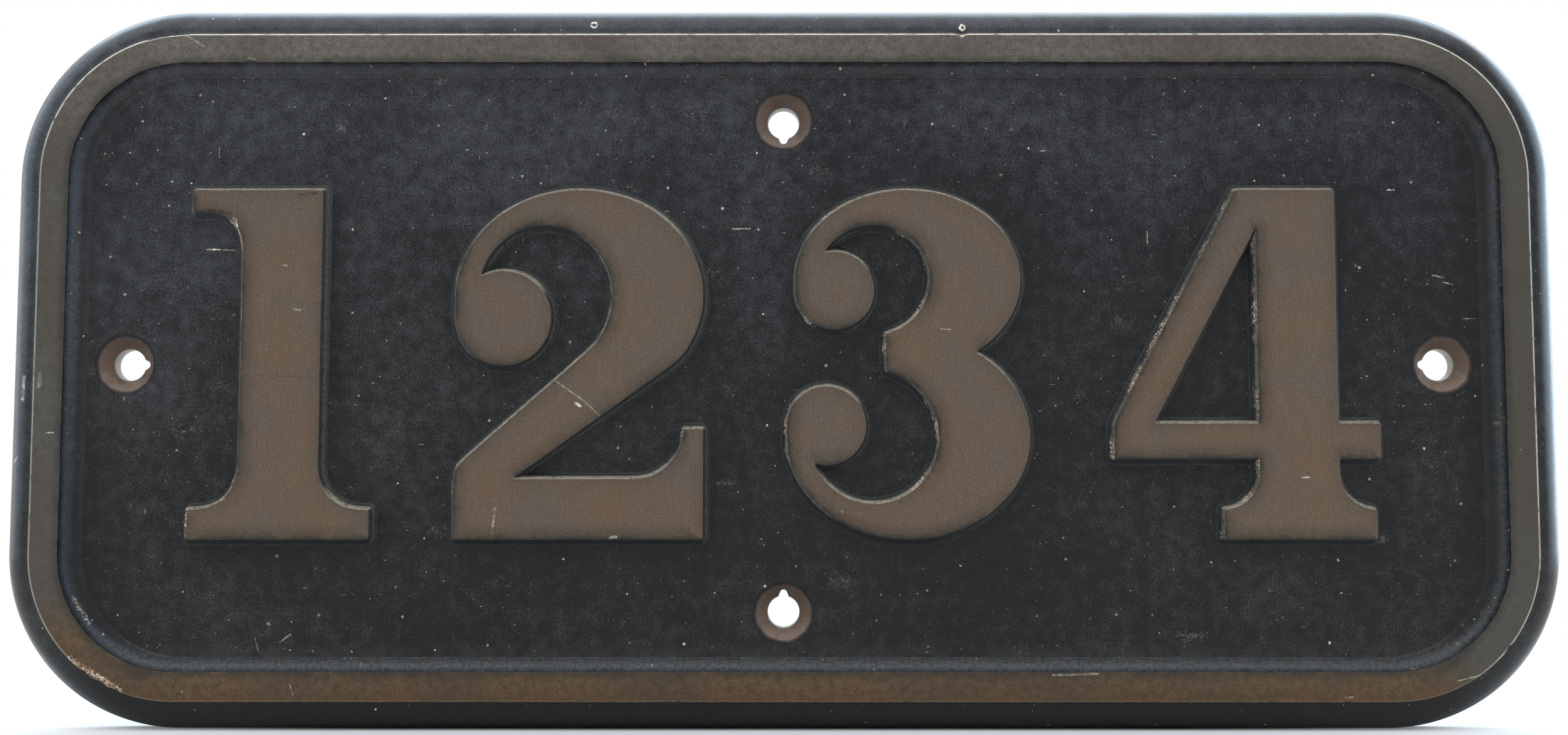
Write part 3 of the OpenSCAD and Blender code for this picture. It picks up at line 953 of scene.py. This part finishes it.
def sink_rust(look, colour):
    """The plate's colour with the countersinks bare and rusty, with painted shade in their upper halves and
    painted light in their lower halves, and where they are.
    """
    hole = look.value("hole")
    ragged = look.ragged(1, 5, 5, 0.65)
    bare = ramp(add(hole, times(ragged, 2.4)), SINK_R + 0.4, SINK_R - 0.6)
    rust = mix(look.patchy(1.8, 0.35, 0.65, detail=5, roughness=0.75), RUST_GREY, RUST)
    shade_rise = add(look.value("above"), times(ragged, 16))
    rust = mix(ramp(shade_rise, 1, 11, 0, 0.42), rust, RUST_SHADE)
    rust = mix(ramp(shade_rise, -2, -9, 0, 0.65), rust, RUST_LIT)
    colour = mix(bare, colour, rust)
    crease = stripe(add(hole, times(ragged, 0.8)), SINK_R, 1)
    return mix(times(crease, 0.75), colour, SOOT_AND_SHADE), bare


def bore_metal(look, colour):
    """The plate's colour with the bores' walls rubbed bright and lightened by painted light from behind the
    holes, in streaks, and where they are.
    """
    lift = look.value("lift")
    near = ramp(look.value("hole"), NOTCH_REACH + 1.3, NOTCH_REACH + 0.4)
    bore = times(ramp(lift, BORE_H + 0.3, BORE_H - 0.3), near)
    turning = joined(times(lift, 1.3), times(look.z, 0.2))
    streaks = look.node("ShaderNodeTexNoise", {"Vector": turning, "Scale": 1}, noise_dimensions="2D")
    rubbed = ramp(streaks["Fac"], 0.3, 0.55, 0.4, 1)
    return mix(times(bore, rubbed), colour, BORE_RUBBED_AND_LIT), bore


def back_crust(look):
    """Old rust and dirt on the plate's back."""
    rusted = weighted((look.grain(70, 4, 0.6), 0.5), (look.grain(7, 5, 0.7), 0.3),
                      (look.grain(1.3, 4, 0.75), 0.2))
    crust = mix(ramp(rusted, 0.4, 0.6), CRUST, CRUST_RUST)
    return mix(times(look.spots(6, 0.9, 0.6), 0.8), crust, SOOT_AND_SHADE)


def plate_material():
    look = Look("black_painted_iron")
    colour, roughness, height = field_paint(look)
    # Dirt and painted shade beside the raised work darken the field to soot black; below nothing, dust
    # lightens it.
    grime = times(look.value("grime"), look.patchy(6, 0.25, 0.6, detail=4))
    colour = mix(most(times(grime, 0.8), 0), colour, SOOT_AND_SHADE)
    colour = mix(most(times(grime, -0.6), 0), colour, WALL_DUST)
    colour, bare = sink_rust(look, colour)
    colour, bore = bore_metal(look, colour)
    clear = ramp(look.value("hole"), FIX_R + 0.2, FIX_R + 2.5)
    behind = times(ramp(look.value("lift"), 1.4, 0.8), clear)
    colour = mix(behind, colour, back_crust(look))
    roughness = add(roughness, weighted((behind, 0.25), (bare, 0.1), (bore, -0.2)))
    height = add(height, times(behind, look.grain(1.6, 5, 0.7), 2))
    return look.finish(colour, roughness, height, PAINT_BUMP, PAINT_GLOSS)


def side_material():
    look = Look("glossy_side_paint", walls=True)
    colour, _, height, specks = paint(look)
    # Painted shade: the downward-facing part of the side is made near black.
    shaded_under = ramp(look.value("up"), -0.6, -0.97)
    colour = mix(times(shaded_under, 0.95), colour, UNDERSIDE_SHADE)
    marks = look.strokes(SIDE_MARKS)
    ragged = look.ragged(1.5, 1.1, 3, 0.7)
    for centre in RING_CHIPS:
        ring = stripe(add(look.away(centre, centre), ragged), 0.95, 0.55)
        marks = most(marks, times(ring, look.patchy(1.4, 0.36, 0.52)))
    colour = mix(most(marks, times(specks, 0.8)), colour, SPECK)
    uneven = weighted((look.grain(2.6, 4, 0.7), 0.24), (specks, 0.2), (shaded_under, 0.3))
    return look.finish(colour, add(uneven, 0.16), height, SMOOTH_BUMP, SIDE_GLOSS)


def band_brass(look, inset, fine):
    """Bare brass of the band: grey along the top as a painted reflection of the light above, brown at the
    bottom and lower left, darker at the right and the upper right corner.
    """
    right, up = look.value("right"), look.value("up")
    cloud = look.grain(42, 3, 0.55)
    low = ramp(add(up, times(right, 0.3)), -0.55, -0.95)
    brass = mix(ramp(add(up, times(cloud, 0.6)), 0.4, 1.1), OLIVE, TOP_REFLECTION_GREY)
    stain = times(ramp(right, -0.3, -0.8), ramp(look.z, 0, -75, 0, 0.5))
    brass = mix(stain, brass, BROWN_SHADE)
    orange = ramp(add(inset, times(cloud, 6)), BAND_IN, SIDE_W + 2.5)
    brass = mix(low, brass, mix(orange, UMBER, ORANGE_EDGE))
    brass = mix(ramp(cloud, 0.35, 0.7, 0, 0.6), brass, BROWN_SHADE)
    corner = ramp(add(right, up), 1, 1.35, 0, 0.2)
    brass = mix(add(ramp(right, 0, 0.6, 0, 0.3), corner), brass, DARK_EDGE)
    rubbed = weighted((fine, 0.7), (look.grain(2.6, 3, 0.6), 0.3))
    return mix(ramp(rubbed, 0.34, 0.66), brass, mix(low, DEEP_BROWN, DEEP_UMBER))


def band_shade(look, inset):
    """Dirt along the band's inner edge, wider at the two ends of the bottom."""
    turning = ramp(absolute(look.value("right")), 0.05, 0.3)
    wider = times(turning, ramp(look.value("up"), -0.75, -0.97, 0, 2.5))
    inner = ramp(add(inset, wider), BAND_IN - 3.6, BAND_IN, 0, 0.7)
    return times(inner, ramp(look.grain(9, 4), 0.35, 0.6, 0.5, 1))


def band_arris(look):
    """Where the band's outer edge is rubbed bright, with a painted highlight strongest along the top, weaker
    at the sides and faint at the bottom.
    """
    right, up = look.value("right"), look.value("up")
    upper = most(ramp(up, -0.4, 0.75, 0.08, 1), ramp(right, 0.45, 0.75, 0, 0.6),
                 ramp(right, -0.5, -0.9, 0, 0.4))
    edge = stripe(look.value("inset"), SIDE_W + 0.2, 0.6)
    return times(edge, upper, look.patchy(4, 0.25, 0.5, detail=4))


def band_material():
    look = Look("border_brass", walls=True)
    inset = add(look.value("inset"), look.ragged(1.2, 4.5, 5, 0.65))
    bare = times(ramp(inset, SIDE_W - 0.3, SIDE_W), ramp(inset, BAND_IN + 0.1, BAND_IN - 0.15))
    fine = look.grain(0.5, 3, 0.75)
    brass = mix(band_shade(look, inset), band_brass(look, inset, fine), DARK_EDGE)
    brass = mix(look.strokes(BAND_SMEARS), brass, SOOT_AND_SHADE)
    specks = times(most(look.spots(7, 0.35, 0.5), look.spots(24, 0.8, 0.4)), 0.5)
    brass = mix(most(specks, look.strokes(BAND_MARKS)), brass, SPECK)
    arris = band_arris(look)
    colour = mix(arris, mix(bare, INK, brass), BRIGHT_BRASS_GLINT)
    chips = times(look.strokes(BAND_CHIPS), look.patchy(1, 0.4, 0.52, detail=3))
    colour = mix(chips, colour, mix(look.patchy(0.9, 0.4, 0.6), BARE_CHIP, SPECK))
    roughness = add(times(fine, 0.2), 0.34)
    metal = most(times(bare, BRASS_METAL), times(arris, ARRIS_METAL))
    return look.finish(colour, roughness, add(fine, chips), BRASS_BUMP, metallic=metal)


def cove_material():
    look = Look("black_cove_paint")
    colour, roughness, height = field_paint(look)
    right, up = look.value("right"), look.value("up")
    upright = absolute(right)
    wavy = look.ragged(2.4, 5, 4, 0.6)
    deep = add(look.value("inset"), wavy, ramp(upright, 0.3, 0.9, 0, 2), -COVE_IN)
    # Dust and painted light in the cove: a pale strip strongest at the bottom, a painted blue reflection on
    # the left side and painted olive shade along the top.
    cast = mix(ramp(right, -0.2, -0.8), COVE_DUST_AND_LIGHT, COVE_BLUE_REFLECTION)
    cast = mix(ramp(up, 0.3, 0.9), cast, COVE_OLIVE_SHADE)
    light_and_dust_amount = times(ramp(up, -0.99, -0.4, 0.72, 0.36), ramp(up, 0.2, 0.8, 1, 0.5))
    share = times(ramp(deep, 1.4, -1.2), light_and_dust_amount)
    mottle = ramp(look.grain(1.3, 5, 0.75), 0.34, 0.64, 0.25, 1.25)
    colour = mix(times(share, mottle), colour, cast)
    # Painted shade at the cove's foot on the upright sides.
    dark = times(ramp(deep, 0.2, 2), ramp(upright, 0.3, 0.9, 0, 0.6))
    colour = mix(dark, colour, SOOT_AND_SHADE)
    crumbs = times(look.spots(6, 0.6, 0.6), look.patchy(14, 0.45, 0.6))
    chips = times(look.strokes(COVE_MARKS), look.patchy(0.9, 0.42, 0.58, detail=3))
    colour = mix(most(times(crumbs, 0.7), chips), colour, SPECK)
    return look.finish(colour, roughness, height, PAINT_BUMP, COVE_GLOSS)


def face_brass(look, fine):
    """Brown brass of a numeral's face, dimmer near its edges, with its marks and specks."""
    worn = add(look.value("edge"), look.ragged(3.2, 2.4, 4, 0.7))
    warm = add(look.grain(24, 3, 0.6), ramp(look.z, 70, -60, -0.08, 0.05))
    brass = mix(ramp(warm, 0.3, 0.68), PATINA_GREY, PATINA)
    shade = weighted((fine, 0.86), (look.grain(1, 3, 0.65, STREAK), 0.14))
    brass = mix(ramp(shade, 0.34, 0.66), brass, BROWN_SHADE)
    near = add(ramp(worn, -7, -1, 0, 0.28), ramp(worn, -2.2, 0.3, 0, 0.36))
    shaded = ramp(add(look.value("right"), look.value("up")), 0.5, -0.8, 0.5, 1.6)
    dim = times(near, shaded, ramp(look.grain(9, 4), 0.3, 0.6, 0.7, 1.1))
    brass = mix(dim, brass, DARK_EDGE)
    brass = mix(look.strokes(NUMERAL_SMEARS), brass, SOOT_AND_SHADE)
    specks = times(most(look.spots(9, 0.4, 0.5), look.spots(27, 0.8, 0.4)), 0.4)
    return mix(most(specks, look.strokes(NUMERAL_MARKS)), brass, SPECK)


def face_material():
    look = Look("numeral_brass", walls=True)
    fine = look.grain(0.5, 3, 0.75)
    face = ramp(add(look.value("edge"), look.ragged(0.5, 4, 4, 0.6)), 0.1, -0.2)
    colour = edge_dust_and_glint(look, mix(face, WALL_DUST, face_brass(look, fine)))
    roughness = add(times(fine, 0.2), 0.34)
    return look.finish(colour, roughness, fine, BRASS_BUMP, metallic=times(face, BRASS_METAL))


def edge_dust_and_glint(look, colour):
    """A numeral's colour with pale lines of dust and painted highlight along its edges, set by which way each
    edge faces, and chips along them.
    """
    place, up, right = look.value("edge"), look.value("up"), look.value("right")
    broken = look.patchy(1.4, 0.34, 0.56, detail=4, roughness=0.7)
    gaps = ramp(broken, 0, 1, 0.25, 1)
    top = times(stripe(place, 0.3, 0.8), ramp(up, 0.4, 0.8), gaps)
    foot = times(stripe(place, 1.1, 0.5), ramp(right, 0.1, 0.6), broken, 0.18)
    left = times(stripe(place, 0.25, 0.5), ramp(right, -0.4, -0.8), broken, 0.4)
    crumbs = times(look.patchy(0.7, 0.46, 0.6, detail=3), look.patchy(13, 0.48, 0.62))
    chips = times(stripe(place, 0.5, 0.8), ramp(right, -0.3, -0.7), crumbs, 0.8)
    chips = most(chips, times(look.strokes(EDGE_CHIPS), look.patchy(0.9, 0.4, 0.56, detail=4)))
    colour = mix(most(top, foot, left), colour, PALE_DUST_AND_GLINT)
    return mix(chips, colour, mix(look.patchy(1.1, 0.42, 0.58), BARE_CHIP, SPECK))


def wall_material():
    look = Look("numeral_wall_paint", walls=True)
    colour, roughness, height, specks = paint(look)
    dull = ramp(look.value("edge"), 2.1, 1.5, 0, 0.6)
    dull = times(dull, ramp(look.value("up"), 0.3, 0.9, 1, 1.6))
    dull = times(dull, ramp(look.grain(1.6, 4), 0.3, 0.6, 0.5, 1))
    colour = mix(dull, colour, WALL_DUST)
    colour = edge_dust_and_glint(look, mix(times(specks, 0.6), colour, SPECK))
    return look.finish(colour, roughness, height, WALL_BUMP, PAINT_GLOSS)


def screw_material():
    look = Look("aged_screw_brass", walls=True)
    cloud = look.grain(2.4, 4, 0.65)
    colour = mix(ramp(cloud, 0.35, 0.65), SCREW_COLOUR, SCREW_DARK)
    roughness = add(times(cloud, 0.25), 0.35)
    return look.finish(colour, roughness, look.grain(0.5, 3), SMOOTH_BUMP, metallic=SCREW_METAL)


def dress_screws(material):
    """Gives the CAD screws a material and soft edges."""
    for node in SCREWS:
        shown = frame["nodes"][node]
        shown.data.materials.clear()
        shown.data.materials.append(material)
        bevel = shown.modifiers.new("soft_edges", "BEVEL")
        bevel.width = SCREW_EDGE * MM
        bevel.segments = 2
        bevel.limit_method = "ANGLE"


# Stage

# Camera: place in metres, pitch and turn in degrees, and lens in mm
CAMERA_AT = (0.0012, -0.616, -0.0445)
CAMERA_PITCH = 4.09
CAMERA_TURN = 0.097
CAMERA_LENS = 38.26

# The surround's level in front at and below eye level, overhead and behind, and the steps between them
ROOM_LOW = 0.5
ROOM_HIGH = 1.0
ROOM_BEHIND = 1.0
HORIZON = (-0.2, 0.3)
OVERHEAD = (0.0, 0.8)

# Colours of the light
WHITE = (1.0, 1.0, 1.0, 1.0)
COOL = (0.82, 0.91, 1.0)
BLUE = (0.62, 0.82, 1.0)

# Lamps: name, place and size in metres, radiance and tint
LAMPS = [("overhead", (0.0, -0.45, 1.2), (2.2, 1.2), 1.2, COOL),
         ("behind_above", (0.0, 0.6, 1.12), (2.4, 0.9), 3.2, BLUE),
         ("right", (1.25, 0.25, 0.1), (1.5, 1.6), 3.2, BLUE),
         ("left", (-1.25, -0.05, 0.45), (1.3, 1.4), 1.5, BLUE)]

# Floor: half its width in metres, its colour, and the distances in mm between which it fades to white
FLOOR_HALF = 4.0
FLOOR_COLOUR = (0.72, 0.72, 0.72, 1.0)
FLOOR_FADE = (70.0, 240.0)


def build_camera():
    camera = in_scene("camera", bpy.data.cameras.new("camera"))
    camera.data.sensor_width = 36.0
    camera.data.lens = CAMERA_LENS
    camera.data.clip_start = 0.01
    camera.location = CAMERA_AT
    camera.rotation_euler = (math.radians(90 + CAMERA_PITCH), 0.0, math.radians(CAMERA_TURN))
    scene.camera = camera


def build_lamp(name, place, size, radiance, tint):
    lamp = bpy.data.lights.new(name, "AREA")
    lamp.shape = "RECTANGLE"
    lamp.size, lamp.size_y = size
    lamp.energy = radiance * math.pi * size[0] * size[1]
    lamp.color = tint
    made = in_scene(name, lamp)
    made.visible_camera = False
    made.location = place
    made.rotation_euler = (-Vector(place)).to_track_quat("-Z", "Y").to_euler()


def build_world():
    """White as seen by the camera and in the gloss behind, and a plain level of light elsewhere."""
    world = bpy.data.worlds.new("studio")
    scene.world = world
    world.use_nodes = True
    world.node_tree.nodes.clear()
    node = partial(add_node, world.node_tree)
    axes = node("ShaderNodeSeparateXYZ", {"Vector": node("ShaderNodeTexCoord")["Generated"]})
    level = most(ramp(axes["Y"], *HORIZON, ROOM_LOW, ROOM_BEHIND),
                 ramp(axes["Z"], *OVERHEAD, ROOM_LOW, ROOM_HIGH))
    room = node("ShaderNodeBackground", {"Color": WHITE, "Strength": level})
    white = node("ShaderNodeBackground", {"Color": WHITE, "Strength": 1.0})
    ray = node("ShaderNodeLightPath")
    glossy = times(ray["Is Glossy Ray"], ramp(axes["Y"], *HORIZON))
    seen = most(ray["Is Camera Ray"], ray["Is Transmission Ray"], glossy)
    mixed = node("ShaderNodeMixShader", {0: seen, 1: room[0], 2: white[0]})
    node("ShaderNodeOutputWorld", {"Surface": mixed[0]})


def build_floor():
    """A pale floor that holds the shadow near the plate and fades to white further off."""
    look = Look("pale_floor")
    away = length(joined(times(look.x, 0.5), look.y))
    ray = look.node("ShaderNodeLightPath")
    seen = most(ray["Is Camera Ray"], ray["Is Glossy Ray"], ray["Is Transmission Ray"])
    far = times(seen, ramp(away, *FLOOR_FADE))
    matt = look.node("ShaderNodeBsdfDiffuse", {"Color": FLOOR_COLOUR})
    white = look.node("ShaderNodeEmission", {"Color": WHITE, "Strength": 1.0})
    mixed = look.node("ShaderNodeMixShader", {0: far, 1: matt[0], 2: white[0]})
    look.node("ShaderNodeOutputMaterial", {"Surface": mixed[0]})
    corners = [(-1, -1), (1, -1), (1, 1), (-1, 1)]
    mesh = bpy.data.meshes.new("floor")
    mesh.from_pydata([(FLOOR_HALF * x, FLOOR_HALF * y, cad_box[0].z) for x, y in corners], [], [(0, 1, 2, 3)])
    mesh.materials.append(look.material)
    floor = in_scene("floor", mesh)


build_camera()
numeral_outlines = {node: front_outlines(node) for node in NUMERALS}
build_plate(plate_material(), sum(numeral_outlines.values(), []))
build_border([side_material(), band_material(), cove_material()])
numeral_looks = [face_material(), wall_material()]
for node, outlines in numeral_outlines.items():
    build_numeral(node, numeral_looks, outlines)
dress_screws(screw_material())
build_world()
build_floor()
for lamp in LAMPS:
    build_lamp(*lamp)
scene.view_settings.view_transform = "Standard"
